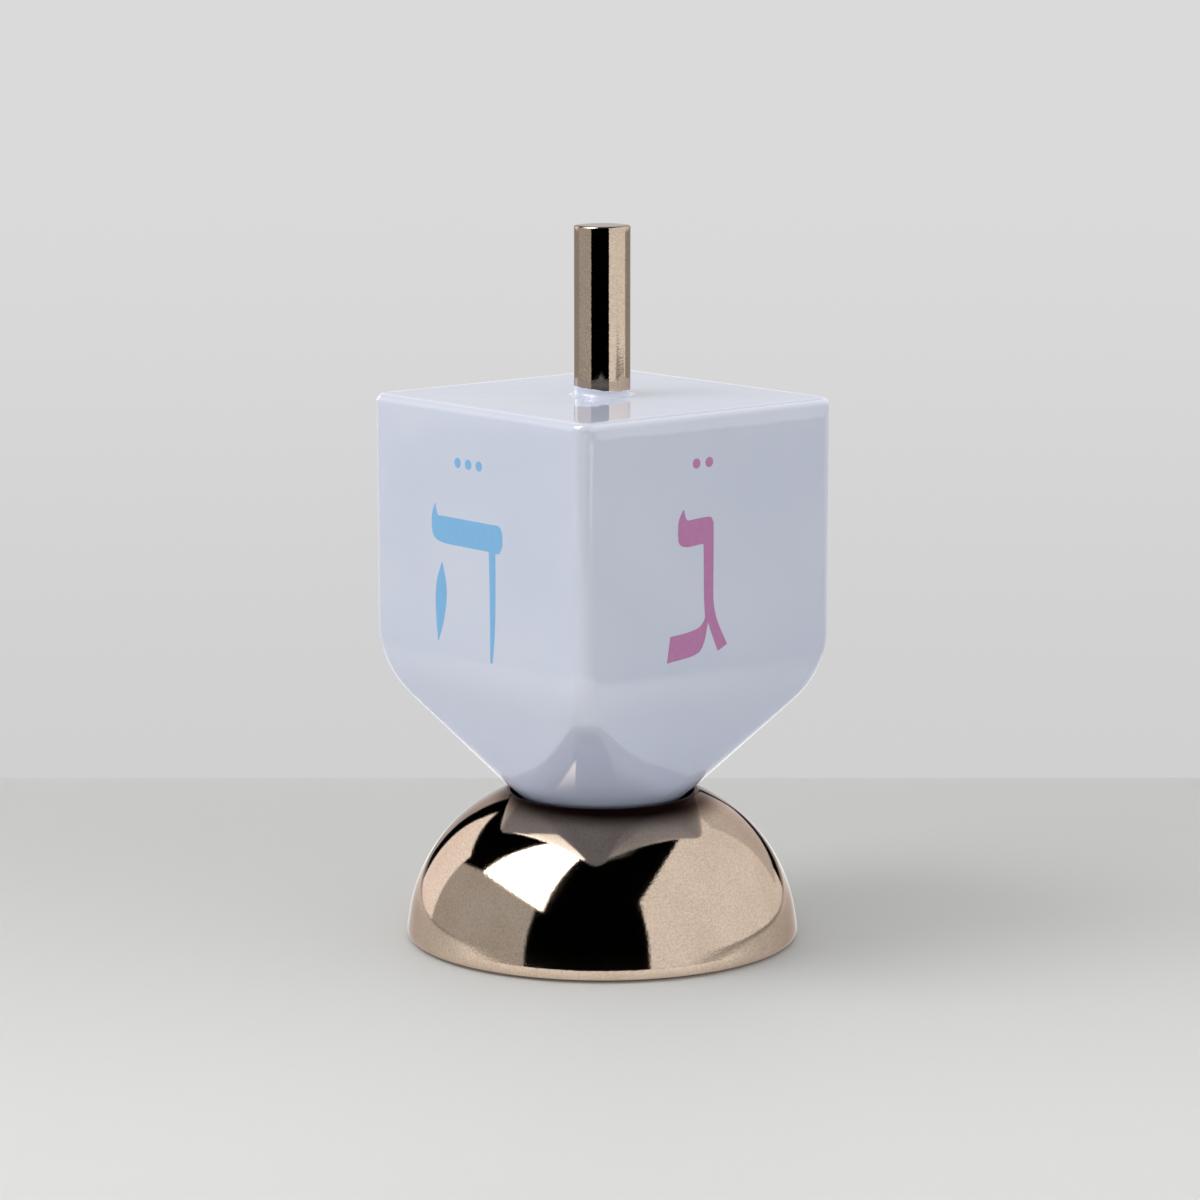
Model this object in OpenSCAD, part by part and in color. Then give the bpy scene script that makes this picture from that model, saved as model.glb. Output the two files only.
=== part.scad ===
// Porcelain dreidel standing on a round domed stand.
// Millimetres, +Z up. The origin is the middle of the stand's underside.
// The four faces of the dreidel look along +X, +Y, -X and -Y.

/* [Stand] */
// Widest diameter of the dome
stand_d = 72; // [64:0.5:84]
// Height that the crown of the dome would reach if no seat were cut into it
dome_h = 31.3; // [28:0.1:36]
// How much smaller the radius of the dome's side is than the crown height
side_drop = 2.2; // [1.5:0.1:5]
// Thickness of the stand's wall
stand_wall = 4; // [2.5:0.1:5]
// Radius of the edge round the foot
foot_edge = 1; // [0.5:0.1:2]
// Height of the rim above the table, where the pad stands proud
foot_gap = 0.4; // [0.2:0.05:0.8]

/* [Base pad] */
// Thickness of the felt pad
pad_t = 1.2; // [0.8:0.1:2]
// Width of the rim that is left round the pad
rim_w = 1.9; // [1.2:0.1:3]
// Clearance round the pad in its rebate
pad_clear = 0.1; // [0.05:0.05:0.3]

/* [Seat] */
// Diameter at which the dreidel's cone would meet the crown of the dome
seat_d = 33; // [28:0.1:36]
// Clearance between the seat and the dreidel that stands in it
seat_clear = 0.4; // [0.3:0.05:0.8]
// Radius of the rolled lip round the seat
lip_r = 1.6; // [0.8:0.1:2.4]

/* [Seat ring] */
// How far the middle of the ring lies inside the seat's edge
ring_in = 2.3; // [2:0.1:4]
// Thickness of the cushion ring
ring_t = 2.2; // [1.6:0.1:2.6]
// Clearance round the ring in its groove
ring_clear = 0.12; // [0.08:0.01:0.3]
// Gap between the ring and the dreidel that stands on it
seat_gap = 0.15; // [0.1:0.01:0.25]

/* [Dreidel] */
// Width of the square body, face to face
body_w = 60; // [54:0.5:68]
// Height of the body from its tip to its top face
body_h = 82.4; // [74:0.1:96]
// Wall thickness of the hollow body
body_wall = 4.5; // [3:0.1:6]
// Radius of the four upright edges
corner_r = 3.1; // [1.5:0.1:5]
// Radius of the edges round the top face
edge_r = 1.5; // [0.8:0.1:3]
// Height above the tip where the faces start to curve in
shoulder_z = 39; // [34:0.1:43]
// Radius of the curve from a face into its slope
shoulder_r = 22; // [16:0.1:27]
// Lean of the lower faces from upright, degrees
slope_a = 28; // [26:0.1:34]
// Radius of the rounded tip
tip_r = 14; // [9:0.1:17]
// Lean of the rounded lower ridges from upright, degrees
keel_a = 47.8; // [45:0.1:52]
// Radius of the curve from an upright edge into its ridge
keel_r = 19; // [12:0.1:22]
// How far the ridge curve starts outside the upright edge
keel_out = 0.2; // [0.1:0.05:0.6]

/* [Stem] */
// Diameter of the stem
stem_d = 10.2; // [8:0.1:13]
// Height of the stem above the top face
stem_h = 30.7; // [24:0.1:40]
// Radius of the edge round the stem's end
stem_edge = 0.4; // [0.2:0.05:1]
// Radius of the flare at the stem's foot
stem_flare = 1; // [0.5:0.1:2]
// Diameter of the spigot that is cemented into the body
spigot_d = 8; // [6:0.1:9]
// Length of the spigot below the top face
spigot_l = 6.5; // [5:0.1:12]
// Clearance for cement round the spigot
spigot_clear = 0.05; // [0.03:0.01:0.15]

/* [Hidden] */
$fn = 96;
arc_steps = 12;
edge_steps = 5;

platinum = "#bfb2a5";
porcelain = "#c6cbe0";
black_rubber = "#151517";
grey_felt = "#3c3b40";

// Dome outline: a side arc and a crown arc that meet with one tangent
stand_r = stand_d / 2;
side_r = dome_h - side_drop;
side_c = stand_r - side_r;
crown_r = (side_c * side_c + dome_h * dome_h - side_r * side_r) / (2 * side_drop);
crown_z = dome_h - crown_r;
join_a = atan2(-crown_z, side_c);

// Foot: the edge radius meets the dome's side at foot_top
foot_top = foot_gap + foot_edge;
foot_r = side_c + sqrt(side_r * side_r - foot_top * foot_top);
pad_r = stand_r - rim_w - pad_clear;

// Tip and ridges of the dreidel, with heights above the tip
half_w = body_w / 2;
tip_join = [tip_r * cos(keel_a), tip_r - tip_r * sin(keel_a)];
corner_reach = (half_w - corner_r) * sqrt(2) + corner_r + keel_out;
ridge_l = (corner_reach - keel_r * (1 - cos(keel_a)) - tip_join[0]) / sin(keel_a);
keel_z = tip_join[1] + ridge_l * cos(keel_a) + keel_r * sin(keel_a);
keel_c = [corner_reach - keel_r, keel_z];

// The dreidel stands where its cone would meet the crown at seat_d
crown_at_seat = crown_z + sqrt(crown_r * crown_r - seat_d * seat_d / 4);
tip_z = crown_at_seat - tip_join[1] - (seat_d / 2 - tip_join[0]) / tan(keel_a);
top_z = tip_z + body_h;
tip_c = [0, tip_z + tip_r];
cone_from = [tip_join[0], tip_z + tip_join[1]];
cone_up = [sin(keel_a), cos(keel_a)];
cone_out = [cos(keel_a), -sin(keel_a)];

// Cushion ring: it comes within seat_gap of the cone, in a groove in the seat
ring_r = seat_d / 2 - ring_in;
ring_off = ring_t / 2 + seat_gap;
ring_z = cone_from[1] + ((ring_r - cone_from[0]) * cos(keel_a) - ring_off) / sin(keel_a);
groove_r = ring_t / 2 + ring_clear;
groove_a = acos((ring_off - seat_clear) / groove_r);

// Point that lies a distance outside the cone, on a circle round the crown's centre
function seat_meet(off, radius) =
    let (base = cone_from + off * cone_out - [0, crown_z])
    let (b = base * cone_up)
    let (t = sqrt(b * b - base * base + radius * radius) - b)
    base + t * cone_up + [0, crown_z];

// Lip: an arc that runs into the seat on one side and into the crown on the other
lip_c = seat_meet(seat_clear + lip_r, crown_r - lip_r);
lip_a = atan2(lip_c[1] - crown_z, lip_c[0]);
under = seat_meet(seat_clear + stand_wall, crown_r - stand_wall);
under_a = atan2(under[1] - crown_z, under[0]);

// Size of shapes that only have to reach past what they cut or bound
past = stand_d + body_h;

// Points of an arc from one angle to another
function arc(centre, radius, from, to, steps = arc_steps) = [
    for (i = [0 : steps])
        let (a = from + (to - from) * i / steps)
        centre + radius * [cos(a), sin(a)]
];

// Half section of the stand: seat, groove, lip, dome, foot, rebate and hollow in turn
module stand_outline() {
    inner_r = side_r - stand_wall;
    polygon(concat(
        arc(tip_c, tip_r + seat_clear, -90, -keel_a),
        arc([ring_r, ring_z], groove_r, 180 - keel_a + groove_a, 540 - keel_a - groove_a),
        arc(lip_c, lip_r, 180 - keel_a, lip_a),
        arc([0, crown_z], crown_r, lip_a, join_a),
        arc([side_c, 0], side_r, join_a, asin(foot_top / side_r)),
        arc([foot_r - foot_edge, foot_top], foot_edge, 0, -90),
        [[pad_r + pad_clear, foot_gap], [pad_r + pad_clear, pad_t]],
        arc([side_c, 0], inner_r, asin(pad_t / inner_r), join_a),
        arc([0, crown_z], crown_r - stand_wall, join_a, under_a),
        arc(tip_c, tip_r + seat_clear + stand_wall, -keel_a, -90)
    ));
}

module stand_dome() {
    color(platinum) rotate_extrude() stand_outline();
}

module base_pad() {
    color(grey_felt) cylinder(r = pad_r, h = pad_t);
}

module seat_ring() {
    color(black_rubber) rotate_extrude() translate([ring_r, ring_z]) circle(ring_t / 2);
}

// Front view of the body: upright sides, round shoulders and sloping lower faces
module face_outline(inset) {
    bend_c = [half_w - shoulder_r, shoulder_z];
    bend = arc(bend_c, shoulder_r - inset, -slope_a, 0);
    edge_c = [half_w - inset - edge_r, body_h - inset - edge_r];
    edge = arc(edge_c, edge_r, 0, 90, edge_steps);
    right = concat(bend, edge);
    left = [for (i = [len(right) - 1 : -1 : 0]) [-right[i][0], right[i][1]]];
    point_z = bend[0][1] - bend[0][0] / tan(slope_a);
    polygon(concat([[0, point_z]], right, left));
}

// Plan of the body: a square with round corners
module plan_outline(inset) {
    flat = half_w - inset - corner_r;
    corners = [[1, 1], [-1, 1], [-1, -1], [1, -1]];
    polygon([
        for (i = [0 : 3])
            each arc(flat * corners[i], corner_r, 90 * i, 90 * (i + 1), edge_steps)
    ]);
}

// Half section of the round form that shapes the tip and the ridges
module keel_outline(inset) {
    tip = arc([0, tip_r], tip_r - inset, -90, -keel_a);
    ridge = arc(keel_c, keel_r - inset, -keel_a, 0);
    polygon(concat(tip, ridge, [[corner_reach - inset, past], [0, past]]));
}

// The body's form with its tip at the origin, inset all round
module body_form(inset) {
    intersection() {
        rotate([90, 0, 0]) linear_extrude(past, center = true) face_outline(inset);
        rotate([90, 0, 90]) linear_extrude(past, center = true) face_outline(inset);
        linear_extrude(past) plan_outline(inset);
        rotate_extrude() keel_outline(inset);
    }
}

module dreidel_body() {
    color(porcelain) translate([0, 0, tip_z]) difference() {
        body_form(0);
        body_form(body_wall);
        translate([0, 0, body_h - spigot_l]) cylinder(d = spigot_d + 2 * spigot_clear, h = past);
    }
}

// Half section of the stem, with the top face of the body at height zero
module stem_outline() {
    stem_r = stem_d / 2;
    spigot_r = spigot_d / 2;
    flare = arc([stem_r + stem_flare, stem_flare], stem_flare, 270, 180);
    end = arc([stem_r - stem_edge, stem_h - stem_edge], stem_edge, 0, 90, edge_steps);
    spigot = [[0, -spigot_l], [spigot_r, -spigot_l], [spigot_r, 0]];
    polygon(concat(spigot, flare, end, [[0, stem_h]]));
}

module stem() {
    color(platinum) translate([0, 0, top_z]) rotate_extrude() stem_outline();
}

stand_dome();
base_pad();
seat_ring();
dreidel_body();
stem();
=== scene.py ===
"""Looks of a glazed porcelain dreidel that stands in the cushioned seat of a bright domed stand.

The file is laid out as an add-on and run as a script. Lengths are metres, +Z is up, and each
piece is a numpy surface in the frame of the packed model.
"""

import bpy
import numpy as np
from bpy.props import FloatProperty, FloatVectorProperty, IntProperty, PointerProperty
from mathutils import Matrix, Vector


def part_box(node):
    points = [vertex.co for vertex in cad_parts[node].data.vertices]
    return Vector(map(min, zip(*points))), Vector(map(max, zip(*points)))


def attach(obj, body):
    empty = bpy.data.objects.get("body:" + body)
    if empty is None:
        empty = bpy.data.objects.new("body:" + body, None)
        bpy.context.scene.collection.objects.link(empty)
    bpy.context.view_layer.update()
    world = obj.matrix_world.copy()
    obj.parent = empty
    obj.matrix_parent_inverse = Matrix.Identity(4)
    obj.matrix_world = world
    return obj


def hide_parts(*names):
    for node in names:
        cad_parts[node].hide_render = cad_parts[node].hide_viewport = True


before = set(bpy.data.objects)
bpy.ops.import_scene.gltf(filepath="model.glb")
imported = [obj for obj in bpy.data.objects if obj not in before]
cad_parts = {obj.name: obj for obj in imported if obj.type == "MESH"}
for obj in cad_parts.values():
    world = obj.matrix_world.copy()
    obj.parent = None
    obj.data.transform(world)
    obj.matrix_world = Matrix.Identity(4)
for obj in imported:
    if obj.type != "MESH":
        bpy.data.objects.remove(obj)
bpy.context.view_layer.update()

bl_info = {
    "name": "Porcelain Dreidel",
    "version": (1, 0, 0),
    "blender": (4, 5, 0),
    "location": "3D View > Sidebar > Dreidel",
    "description": "Builds a glazed dreidel, its domed stand and a plain studio",
    "category": "Add Mesh",
}

MM = 0.001
ROOT2 = 2**0.5
IMAGE_SIDE = 1200
SENSOR = 36.0
SHARP = np.radians(38)
UP = (0, 0, 1)

BODY_LOW, BODY_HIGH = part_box("dreidel_body")
STEM_LOW, STEM_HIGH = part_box("stem")
RING_LOW, RING_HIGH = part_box("seat_ring")
STAND_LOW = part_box("stand_dome")[0]
PAD_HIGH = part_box("base_pad")[1]


# Properties


def number(name, description, default, low=0.0, high=1.0, **kind):
    """A number property between two limits."""
    return FloatProperty(
        name=name, description=description, default=default, min=low, max=high, **kind
    )


def share(name, description, default, high=1.0):
    """A plain number from zero up."""
    return number(name, description, default, 0.0, high, subtype="FACTOR")


def length(name, description, default, low=0.0, high=0.2):
    """A length property in metres."""
    kind = {"precision": 5, "subtype": "DISTANCE", "unit": "LENGTH"}
    return number(name, description, default, low, high, **kind)


def angle(name, description, degrees):
    """An angle property, given in degrees and kept in radians."""
    kind = {"subtype": "ANGLE", "unit": "ROTATION"}
    return number(name, description, np.radians(degrees), -np.pi, np.pi, **kind)


def colour(name, description, red, green, blue):
    """A colour property, given as screen values from 0 to 255 and kept linear."""
    screen = np.array([red, green, blue]) / 255
    linear = np.where(screen > 0.04045, ((screen + 0.055) / 1.055) ** 2.4, screen / 12.92)
    return FloatVectorProperty(
        name=name, description=description, default=tuple(linear), min=0, max=1, subtype="COLOR"
    )


class DreidelBodySizes(bpy.types.PropertyGroup):
    """Form of the hollow body; heights count from its tip."""

    tip_z: length("Tip height", "Height of the tip above the table", BODY_LOW.z)
    height: length("Height", "From the tip to the top face", BODY_HIGH.z - BODY_LOW.z)
    half: length("Half width", "From the axis to a face", BODY_HIGH.x)
    wall: length("Wall", "Thickness of the casting", 4.5 * MM)
    corner_r: length("Corner radius", "Radius of the upright edges", 3.1 * MM)
    edge_r: length("Edge radius", "Radius of the edges round the top face", 1.5 * MM)
    shoulder_z: length("Shoulder height", "Where the faces start to curve in", 39 * MM)
    shoulder_r: length("Shoulder radius", "Curve from a face into its slope", 22 * MM)
    slope: angle("Slope", "Lean of the lower faces from upright", 28.0)
    tip_r: length("Tip radius", "Radius of the rounded tip", 14 * MM)
    keel: angle("Ridge lean", "Lean of the lower ridges from upright", 47.8)
    keel_r: length("Ridge radius", "Curve from an upright edge into its ridge", 19 * MM)
    keel_out: length("Ridge start", "Where the ridge curve starts outside the edge", 0.2 * MM)
    # Thin glaze and painted highlight: the ridges turn paler from this height up
    pale_ridge_z: length("Thin glaze and highlight", "Where the ridges start to show thin glaze and a painted highlight", 26 * MM)
    bore_r: length("Bore radius", "Radius of the hole for the stem's spigot", 4.05 * MM)


class DreidelStemSizes(bpy.types.PropertyGroup):
    """Form of the stem; heights count from the top face."""

    foot_z: length("Foot height", "Height of the body's top face", BODY_HIGH.z)
    height: length("Height", "From the top face to the stem's end", STEM_HIGH.z - BODY_HIGH.z)
    radius: length("Radius", "Radius of the stem", 5.1 * MM)
    edge_r: length("Edge radius", "Radius of the edge round the end", 0.4 * MM)
    flare: length("Flare", "Radius of the flare at the foot", 1.0 * MM)
    spigot_r: length("Spigot radius", "Radius of the cemented spigot", 4 * MM)
    spigot_l: length("Spigot length", "Depth of the spigot", BODY_HIGH.z - STEM_LOW.z)
    painted: length("Paint line", "Height where the lustre starts", 1.5 * MM)


class DreidelStandSizes(bpy.types.PropertyGroup):
    """Form of the stand, its cushion ring and its pad."""

    crown_h: length("Crown height", "Height of the uncut crown", 31.3 * MM)
    side_r: length("Side radius", "Radius of the dome's side", 29.1 * MM)
    side_c: length("Side centre", "From the axis to the side's centre", 6.9 * MM)
    wall: length("Wall", "Thickness of the casting", 4 * MM)
    foot_edge: length("Foot edge", "Radius of the edge round the foot", 1 * MM)
    foot_z: length("Foot gap", "Height of the rim above the table", STAND_LOW.z)
    pad_clear: length("Pad clearance", "Gap round the pad in its rebate", 0.1 * MM)
    pad_r: length("Pad radius", "Radius of the felt pad", PAD_HIGH.x)
    pad_t: length("Pad thickness", "Thickness of the felt pad", PAD_HIGH.z)
    ring_t: length("Ring thickness", "Thickness of the ring", RING_HIGH.z - RING_LOW.z)
    ring_out: length("Ring reach", "Outer radius of the cushion ring", RING_HIGH.x)
    ring_low: length("Ring foot", "Lowest point of the cushion ring", RING_LOW.z)
    groove_clear: length("Groove clearance", "Gap round the ring in its groove", 0.12 * MM)
    seat_clear: length("Seat clearance", "Gap between the seat and the dreidel", 0.4 * MM)
    lip_r: length("Lip radius", "Radius of the rolled lip round the seat", 1.6 * MM)
    foot_turn: angle("Foot lean", "Lean of the side where it meets the foot", 8.8)
    foot_bend: length("Foot bend", "Radius of the bend above the foot's edge", 7.2 * MM)
    foot_in: length("Foot draft", "What the side's radius loses at the foot", 0.1 * MM)
    # Painted shade: inside this radius the seat is matt and dark, for the crevice's shadow
    dark_seat_r: length("Dark seat radius", "Radius inside which the seat is dark", 16.9 * MM)
    # Painted shadow round the seat: where the lustre darkens for the crevice under the dreidel
    shadow_r: length("Shadow radius", "Middle of the fade round the seat", 20.0 * MM)
    shadow_soft: length("Shadow fade", "Width of the fade round the seat", 4.6 * MM)
    shadow_front: length("Shadow forward", "Shift of the worn patch forward", 1.1 * MM)
    shadow_side: length("Shadow sideways", "Shift of the worn patch to the right", 0.9 * MM)


class DreidelPrintSizes(bpy.types.PropertyGroup):
    """Place and size of the letters and the pips."""

    letter_z: length("Letter height", "Height of the letters' middle", 68.6 * MM)
    letter_h: length("Letter size", "Height of a letter", 26.9 * MM)
    pip_z: length("Pip height", "Height of the row of pips", 90 * MM)
    pip_r: length("Pip radius", "Radius of a pip", 0.9 * MM)
    pip_step: length("Pip step", "From one pip to the next", 3.0 * MM)
    proud: length("Film", "How far the print stands out of the glaze", 0.02 * MM)
    depth: length("Film depth", "How far the print reaches into the glaze", 0.04 * MM)
    layer: length("Film step", "How far a stroke lies above the one before", 0.004 * MM)


class DreidelColours(bpy.types.PropertyGroup):
    """Colours of the glaze, the lustre, the prints and the soft pieces."""

    glaze: colour("Glaze", "Pale lavender glaze", 209, 214, 229)
    glaze_deep: colour("Pooled glaze", "Glaze where it lies thicker", 203, 209, 227)
    # Paler glaze on edges and ridges: partly thin glaze, partly a painted highlight
    glaze_thin_and_highlight: colour("Thin glaze and highlight", "Glaze paler on an edge, as thin glaze and a painted highlight", 228, 231, 239)
    # Glaze that is bluer towards the tip
    glaze_low: colour("Low glaze", "Glaze that is bluer towards the tip", 204, 212, 236)
    lustre: colour("Lustre", "Platinum lustre", 155, 141, 127)
    lustre_deep: colour("Thin lustre", "Lustre where it lies thinner", 141, 126, 112)
    # Painted shade: colour of the matt dark seat, for the crevice's shadow
    seat: colour("Seat", "Matt dark seat, painted shade of the crevice", 16, 14, 14)
    # Colour of the painted shadow round the seat
    worn: colour("Seat shadow", "Lustre darkened by painted shadow round the seat", 26, 10, 7)
    blue: colour("Blue print", "Ink of two of the letters", 120, 181, 227)
    mauve: colour("Mauve print", "Ink of the other two letters", 184, 118, 169)
    rubber: colour("Rubber", "Cushion ring", 24, 24, 26)
    felt: colour("Felt", "Pad under the stand", 62, 61, 66)


class DreidelStudio(bpy.types.PropertyGroup):
    """Camera, floor and light."""

    azimuth: angle("Camera azimuth", "Camera's turn from -Y towards -X", 40.5)
    pitch: angle("Camera pitch", "How far the camera looks down", 9.91)
    distance: length("Camera distance", "From the camera to what it looks at", 0.762, 0.1, 5.0)
    aim_z: length("Aim height", "Height that the camera looks at", 62.5 * MM)
    aim_side: length("Aim shift", "How far the aim lies left of the axis", 0.4 * MM)
    focal: number("Focal length", "In pixels of the image", 4179.0, 500.0, 2e4, subtype="PIXEL")
    table_back: length("Table behind", "From the axis to the far edge", 0.134, 0.05, 2.0)
    table_front: length("Table in front", "From the axis to the near edge", 0.46, 0.1, 2.0)
    table_side: length("Table side", "From the axis to the side edges", 0.9, 0.2, 3.0)
    floor: colour("Floor", "Plain pale table top", 214, 214, 212)
    # Painted shade: how much of its tone the table keeps at its far edge
    floor_far_shade: share("Far floor", "How much of its tone the table keeps far off", 0.75)
    floor_lit: share("Mirrored floor", "How much brighter mirrors see the table", 2.1, 10.0)
    wall: colour("Wall", "Plain backdrop", 218, 218, 218)
    wall_low: share("Low wall", "How much of its tone the wall keeps low down", 0.9)
    ambient: share("Fill light", "Level of the light from all round", 0.89, 4.0)
    dimmed: share("Dimming", "How much less fill comes from the camera's side", 0.45)
    key: share("Key light", "Radiance of the soft box", 4.3, 20.0)
    columns: IntProperty(
        name="Columns", description="Points round a turned piece", default=192, min=24, max=512
    )


# Shapes


def arc(centre, radius, start, stop, steps):
    """Points c + r (cos a, sin a) with the angle a in even steps, in degrees."""
    turn = np.radians(np.linspace(start, stop, steps + 1))
    return np.array(centre) + radius * np.stack([np.cos(turn), np.sin(turn)], axis=1)


def line(start, stop, steps=1):
    """Points in even steps from start to stop."""
    return np.linspace(start, stop, steps + 1)


def run(*stretches):
    """One profile from stretches that follow each other, with shared end points kept once."""
    points = np.concatenate(stretches)
    apart = np.linalg.norm(np.diff(points, axis=0), axis=1) > 1e-7
    return points[np.concatenate([[True], apart])]


def turned(profile, columns):
    """Surface of revolution: (r cos a, r sin a, z) for each profile point (r, z)."""
    turn = np.linspace(0, 2 * np.pi, columns, endpoint=False)
    reach, height = profile[:, :1], profile[:, 1:]
    level = height * np.ones_like(turn)
    return np.stack([reach * np.cos(turn), reach * np.sin(turn), level], axis=2)


def skin(grid, loop=False):
    """Points, quads and triangles of a closed surface from a grid of points, rows by columns.

    Columns wrap round, and with loop the rows do too. Otherwise each end row is closed at its
    middle, which is a pole where the row is one point. The volume's sign turns faces outwards.
    """
    if not loop:
        ends = grid[[0, -1]].mean(axis=1, keepdims=True).repeat(grid.shape[1], axis=1)
        flat = np.ptp(grid[[0, -1]], axis=1).max(axis=1) < 1e-9
        grid = np.concatenate([ends[:1][int(flat[0]) :], grid, ends[1:][int(flat[1]) :]])
    keep = np.ones(grid.shape[:2], bool)
    keep[[0, -1], 1:] = loop
    index = (np.cumsum(keep) - 1).reshape(keep.shape)
    index = np.concatenate([index, index[:1]]) if loop else index
    above, below = index[:-1], index[1:]
    faces = np.stack([above, np.roll(above, -1, 1), np.roll(below, -1, 1), below], axis=2)
    faces = faces.reshape(-1, 4)
    points = grid[keep]
    corner = (points - points.mean(axis=0))[faces]
    spread = np.cross(corner[:, 1], corner[:, 2]) + np.cross(corner[:, 2], corner[:, 3])
    if np.sum(corner[:, 0] * spread) < 0:
        faces = faces[:, ::-1]
    same = faces == np.roll(faces, -1, axis=1)
    capped = same.any(axis=1)
    return points, faces[~capped], faces[capped][~same[capped]].reshape(-1, 3)


def add_object(name, data):
    """A new object in the scene."""
    made = bpy.data.objects.new(name, data)
    bpy.context.scene.collection.objects.link(made)
    return made


def add_piece(name, skins, finish, body, replaces=(), edge=None):
    """One object from skins, with its finish, riding on a body of the frame."""
    points, faces = np.empty((0, 3)), []
    for more, quads, triangles in skins:
        faces += (quads + len(points)).tolist() + (triangles + len(points)).tolist()
        points = np.concatenate([points, more])
    mesh = bpy.data.meshes.new(name)
    mesh.from_pydata(points.tolist(), [], faces)
    if edge is not None:
        layer = mesh.attributes.new("edge", "FLOAT", "POINT")
        layer.data.foreach_set("value", edge.astype(np.float32))
    mesh.shade_smooth()
    mesh.set_sharp_from_angle(angle=SHARP)
    mesh.materials.append(finish)
    made = add_object(name, mesh)
    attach(made, body)
    if replaces:
        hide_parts(*replaces)
    return made


def square_ring(flat_steps, corner_steps):
    """Columns of a rounded square: a point is (w - r) C + r A, from face to corner round the axis.

    C runs along the sides of the unit square and A turns from one face's normal to the next.
    The third result is 1 in the middle of a corner and 0 on a face.
    """
    quarter = np.arange(4)[:, None] * np.pi / 2
    normal = np.stack([np.cos(quarter), np.sin(quarter)], axis=2)
    along = np.stack([-np.sin(quarter), np.cos(quarter)], axis=2)
    slide = np.linspace(-1, 1, flat_steps, endpoint=False)[None, :, None]
    turn = np.linspace(0, np.pi / 2, corner_steps, endpoint=False)
    bend = turn[None, :, None]
    centre = np.concatenate([normal + slide * along, (normal + along).repeat(corner_steps, 1)], 1)
    reach = np.concatenate(
        [normal.repeat(flat_steps, 1), np.cos(bend) * normal + np.sin(bend) * along], axis=1
    )
    edge = np.tile(np.concatenate([np.zeros(flat_steps), np.sin(2 * turn)]), 4)
    return centre.reshape(-1, 2), reach.reshape(-1, 2), edge


def half_width(size, height, inset=0.0):
    """Distance w(z) from the axis to a face: upright, then an arc, then a straight slope."""
    bend = size.shoulder_r - inset
    centre = size.half - size.shoulder_r
    drop = np.clip(size.shoulder_z - height, 0, bend * np.sin(size.slope))
    below = np.maximum(size.shoulder_z - height - bend * np.sin(size.slope), 0)
    return centre + np.sqrt(bend**2 - drop**2) - below * np.tan(size.slope)


def keel_radius(size, height, inset=0.0):
    """Radius k(z) of the round form under the body: a ball, a cone and an arc to the edges."""
    cos, sin = np.cos(size.keel), np.sin(size.keel)
    reach = (size.half - size.corner_r) * ROOT2 + size.corner_r + size.keel_out
    ball = size.tip_r - inset
    bend = size.keel_r - inset
    join_r = size.tip_r * cos
    join_z = size.tip_r * (1 - sin)
    ridge = (reach - size.keel_r * (1 - cos) - join_r) / sin
    top = join_z + ridge * cos + size.keel_r * sin
    start_r = ball * cos
    start_z = size.tip_r - ball * sin
    cone = start_r + (height - start_z) * np.tan(size.keel)
    round_tip = np.sqrt(np.maximum(ball**2 - (size.tip_r - height) ** 2, 0))
    drop = np.clip(top - height, 0, bend)
    arched = reach - size.keel_r + np.sqrt(bend**2 - drop**2)
    lower = np.where(height < start_z, round_tip, cone)
    return np.where(height < top - bend * sin, lower, arched)


def body_rows(size, height, inset=0.0):
    """Half width w and corner radius r of the body's section at each height.

    w is the lesser of face and keel; the corner reaches R, a smooth least of the square's own
    corner and the keel, so r = (w sqrt 2 - R) / (sqrt 2 - 1).
    """
    soft, least_r = 0.3 * MM, 0.2 * MM
    keel = keel_radius(size, height, inset)
    face = half_width(size, height, inset)
    width = np.minimum(face, keel)
    square = ROOT2 * face - (ROOT2 - 1) * size.corner_r
    reach = (square + keel - np.sqrt((square - keel) ** 2 + soft**2)) / 2
    reach = np.maximum(reach, width)
    return width, np.clip((ROOT2 * width - reach) / (ROOT2 - 1), least_r, width)


def body_profile(size):
    """Rows (w, r, z) of the body, from the tip over the top and the bore to the hollow's tip.

    The last two columns are 1 on the edge round the top face and on the ridges.
    """
    tip = size.tip_r * (1 - np.cos(np.linspace(0, np.pi / 2 - size.keel, 15)[1:]))
    bend_low = size.shoulder_z - size.shoulder_r * np.sin(size.slope)
    bend_top = size.shoulder_z + 3 * MM
    side_top = size.height - size.edge_r
    low = np.linspace(tip[-1], bend_low, 27)[1:]
    bend = np.linspace(bend_low, bend_top, 32)[1:]
    side = np.linspace(bend_top, side_top, 16)[1:]
    height = np.concatenate([tip, low, bend, side])
    width, round_r = body_rows(size, height)
    blunter, fade = round_r / size.corner_r - 1, 8 * MM
    tight = np.clip(1 - 0.6 * blunter, 0, 1)
    # Thin glaze and painted highlight on the ridges, fading in with height
    ridge = tight * np.clip((height - size.pale_ridge_z) / fade, 0, 1)
    outer = np.stack([width, round_r, height, np.zeros_like(height), ridge], axis=1)

    turn = np.linspace(0, np.pi / 2, 10)[1:]
    inward = size.edge_r * (1 - np.cos(turn))
    rise = side_top + size.edge_r * np.sin(turn)
    shown = [np.sin(2 * turn), np.cos(turn)]
    rolled = np.stack([size.half - inward, size.corner_r - inward, rise, *shown], axis=1)
    bore = [size.bore_r, size.bore_r]
    top = line(rolled[-1], [*bore, size.height, 0, 0], 14)[1:]
    ceiling = size.height - size.wall
    throat = line([*bore, size.height, 0, 0], [*bore, ceiling, 0, 0], 2)[1:]
    depth = np.linspace(ceiling, size.wall, 40)
    width, round_r = body_rows(size, depth, size.wall)
    inner = np.zeros((len(depth), 5))
    inner[:, :3] = np.stack([width, round_r, depth], axis=1)
    roof = line([*bore, ceiling, 0, 0], inner[0], 6)[1:-1]
    pole = np.zeros((1, 5))
    return np.concatenate([pole, outer, rolled, top, throat, roof, inner])


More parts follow.
